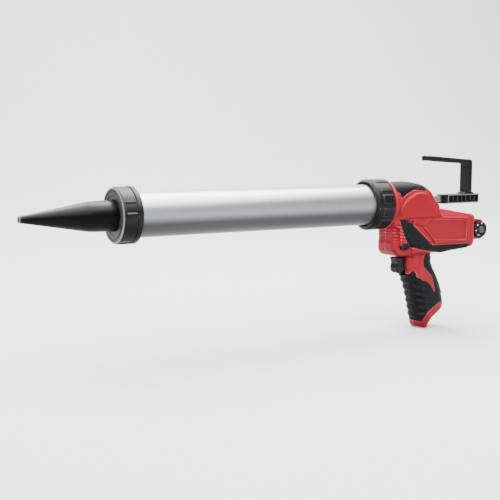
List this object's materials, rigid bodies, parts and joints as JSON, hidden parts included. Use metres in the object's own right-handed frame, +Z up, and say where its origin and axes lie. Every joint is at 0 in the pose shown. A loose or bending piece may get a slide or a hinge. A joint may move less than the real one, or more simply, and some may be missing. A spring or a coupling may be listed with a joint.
{
  "type": "caulking gun",
  "caption": "Bare cordless caulking gun with a tapered nozzle, metal barrel, screw collar, pistol grip and a toothed push rod with a hooked pull handle.",
  "frame": {"origin": "centre of the nozzle's outlet", "axes": "+X along the barrel towards the rear, +Y to the tool's right, +Z up, away from the grip"},
  "size_m": [0.6741, 0.0682, 0.2388],
  "materials": {
    "nozzle": "moulded polyethylene, satin black",
    "cap": "moulded nylon, black, fine texture",
    "tube": "drawn aluminium tube, fine turned lines, satin",
    "shell": "moulded glass-filled nylon, red, semi-gloss",
    "pad": "soft overmoulded elastomer, charcoal, matt",
    "rod": "zinc plated steel bar with milled teeth",
    "handle": "moulded glass-filled nylon, black",
    "control": "moulded plastic, black",
    "piston": "moulded polyethylene, black",
    "steel": "machined steel",
    "dark_steel": "black oxide steel screws",
    "alloy": "stamped aluminium plate",
    "bronze": "sintered bronze bushes",
    "gear_plastic": "natural acetal",
    "motor_steel": "zinc plated motor can",
    "copper": "copper wound armature",
    "board": "green circuit board",
    "contact": "plated brass blades"
  },
  "bodies": {
    "housing": {"left_shell": "shell", "right_shell": "shell", "front_mount": "control", "left_top_pad": "pad", "right_top_pad": "pad", "left_stripe_pad": "pad", "right_stripe_pad": "pad", "left_grip_pad": "pad", "right_grip_pad": "pad", "front_guide": "gear_plastic", "rear_guide": "gear_plastic", "left_gear_plate": "alloy", "right_gear_plate": "alloy", "plate_pillars": "steel", "shaft_bushes": "bronze", "gearbox_ring": "alloy", "gearbox_cap": "alloy", "motor_can": "motor_steel", "motor_end_cap": "control", "trigger_switch": "control", "dial_potentiometer": "board", "control_board": "board", "terminal_block": "control", "contact_blades": "contact", "shell_screws": "dark_steel"},
    "barrel": {"barrel_tube": "tube", "tube_ring": "alloy"},
    "collar": {"collar": "cap"},
    "nozzle": {"nozzle": "nozzle"},
    "cap": {"front_cap": "cap"},
    "rod": {"rack_rod": "rod", "piston": "piston", "piston_washer": "steel", "piston_screw": "steel", "handle_block": "handle", "hook_handle": "handle", "handle_screws": "dark_steel"},
    "pinion": {"pinion": "steel", "pinion_shaft": "steel", "clutch_hub": "steel"},
    "rotor": {"motor_rotor": "copper", "sun_gear": "steel"},
    "carrier_1": {"carrier_1": "steel"},
    "carrier_2": {"carrier_2": "steel", "bevel_pinion": "steel"},
    "intermediate": {"intermediate_shaft": "steel", "bevel_gear": "steel"},
    "drive_gear": {"drive_gear": "steel"},
    "trigger": {"trigger": "control"},
    "lock_button": {"lock_button": "control"},
    "dial": {"speed_dial": "control"},
    "planet_1a": {"planet_1a": "gear_plastic"},
    "planet_1b": {"planet_1b": "gear_plastic"},
    "planet_1c": {"planet_1c": "gear_plastic"},
    "planet_2a": {"planet_2a": "gear_plastic"},
    "planet_2b": {"planet_2b": "gear_plastic"},
    "planet_2c": {"planet_2c": "gear_plastic"}
  },
  "joints": [
    {"name": "rod_slide", "type": "slide", "parent": "housing", "child": "rod", "axis": [1, 0, 0], "range_m": [-0.006, 0.335]},
    {"name": "pinion_spin", "type": "hinge", "parent": "housing", "child": "pinion", "pos_m": [0.5431, 0, -0.0155], "axis": [0, 1, 0], "range_deg": [-30, 1440]},
    {"name": "barrel_draw", "type": "slide", "parent": "housing", "child": "barrel", "axis": [-1, 0, 0], "range_m": [0, 0.0121]},
    {"name": "collar_unscrew", "type": "hinge", "parent": "barrel", "child": "collar", "pos_m": [0.4801, 0, 0], "axis": [1, 0, 0], "range_deg": [0, 1440]},
    {"name": "nozzle_draw", "type": "slide", "parent": "barrel", "child": "nozzle", "axis": [-1, 0, 0], "range_m": [0, 0.0201]},
    {"name": "cap_unscrew", "type": "hinge", "parent": "nozzle", "child": "cap", "pos_m": [0.12, 0, 0], "axis": [1, 0, 0], "range_deg": [0, 1800]},
    {"name": "trigger_press", "type": "slide", "parent": "housing", "child": "trigger", "axis": [1, 0, 0], "range_m": [0, 0.006], "stiffness_N_per_m": 500, "springref_m": -0.005},
    {"name": "lock_press", "type": "slide", "parent": "housing", "child": "lock_button", "axis": [0, 1, 0], "range_m": [-0.0025, 0.0025]},
    {"name": "dial_turn", "type": "hinge", "parent": "housing", "child": "dial", "pos_m": [0.6621, -0.016, -0.0405], "axis": [0, 1, 0], "range_deg": [0, 270]},
    {"name": "motor_spin", "type": "hinge", "parent": "housing", "child": "rotor", "pos_m": [0.61119, 0, -0.042], "axis": [1, 0, 0], "continuous": true},
    {"name": "carrier_1_spin", "type": "hinge", "parent": "housing", "child": "carrier_1", "pos_m": [0.59119, 0, -0.042], "axis": [1, 0, 0], "continuous": true},
    {"name": "carrier_2_spin", "type": "hinge", "parent": "housing", "child": "carrier_2", "pos_m": [0.58119, 0, -0.042], "axis": [1, 0, 0], "continuous": true},
    {"name": "planet_1a_spin", "type": "hinge", "parent": "carrier_1", "child": "planet_1a", "pos_m": [0.59619, 0.009, -0.042], "axis": [1, 0, 0], "continuous": true},
    {"name": "planet_1b_spin", "type": "hinge", "parent": "carrier_1", "child": "planet_1b", "pos_m": [0.59619, -0.0045, -0.03421], "axis": [1, 0, 0], "continuous": true},
    {"name": "planet_1c_spin", "type": "hinge", "parent": "carrier_1", "child": "planet_1c", "pos_m": [0.59619, -0.0045, -0.04979], "axis": [1, 0, 0], "continuous": true},
    {"name": "planet_2a_spin", "type": "hinge", "parent": "carrier_2", "child": "planet_2a", "pos_m": [0.58619, 0.009, -0.042], "axis": [1, 0, 0], "continuous": true},
    {"name": "planet_2b_spin", "type": "hinge", "parent": "carrier_2", "child": "planet_2b", "pos_m": [0.58619, -0.0045, -0.03421], "axis": [1, 0, 0], "continuous": true},
    {"name": "planet_2c_spin", "type": "hinge", "parent": "carrier_2", "child": "planet_2c", "pos_m": [0.58619, -0.0045, -0.04979], "axis": [1, 0, 0], "continuous": true},
    {"name": "intermediate_spin", "type": "hinge", "parent": "housing", "child": "intermediate", "pos_m": [0.55919, 0, -0.042], "axis": [0, 1, 0], "continuous": true},
    {"name": "drive_gear_spin", "type": "hinge", "parent": "housing", "child": "drive_gear", "pos_m": [0.5431, 0.013, -0.0155], "axis": [0, 1, 0], "continuous": true}
  ],
  "couplings": [
    {"joint": "pinion_spin", "follows": "rod_slide", "rad_per_m": 74.074},
    {"joint": "barrel_draw", "follows": "collar_unscrew", "m_per_rad": 0.00047746},
    {"joint": "nozzle_draw", "follows": "cap_unscrew", "m_per_rad": 0.00063662},
    {"joint": "carrier_1_spin", "follows": "motor_spin", "ratio": 0.2},
    {"joint": "carrier_2_spin", "follows": "motor_spin", "ratio": 0.04},
    {"joint": "planet_1a_spin", "follows": "motor_spin", "ratio": -0.53333},
    {"joint": "planet_1b_spin", "follows": "motor_spin", "ratio": -0.53333},
    {"joint": "planet_1c_spin", "follows": "motor_spin", "ratio": -0.53333},
    {"joint": "planet_2a_spin", "follows": "motor_spin", "ratio": -0.10667},
    {"joint": "planet_2b_spin", "follows": "motor_spin", "ratio": -0.10667},
    {"joint": "planet_2c_spin", "follows": "motor_spin", "ratio": -0.10667},
    {"joint": "intermediate_spin", "follows": "motor_spin", "ratio": -0.02},
    {"joint": "drive_gear_spin", "follows": "motor_spin", "ratio": 0.0048}
  ]
}
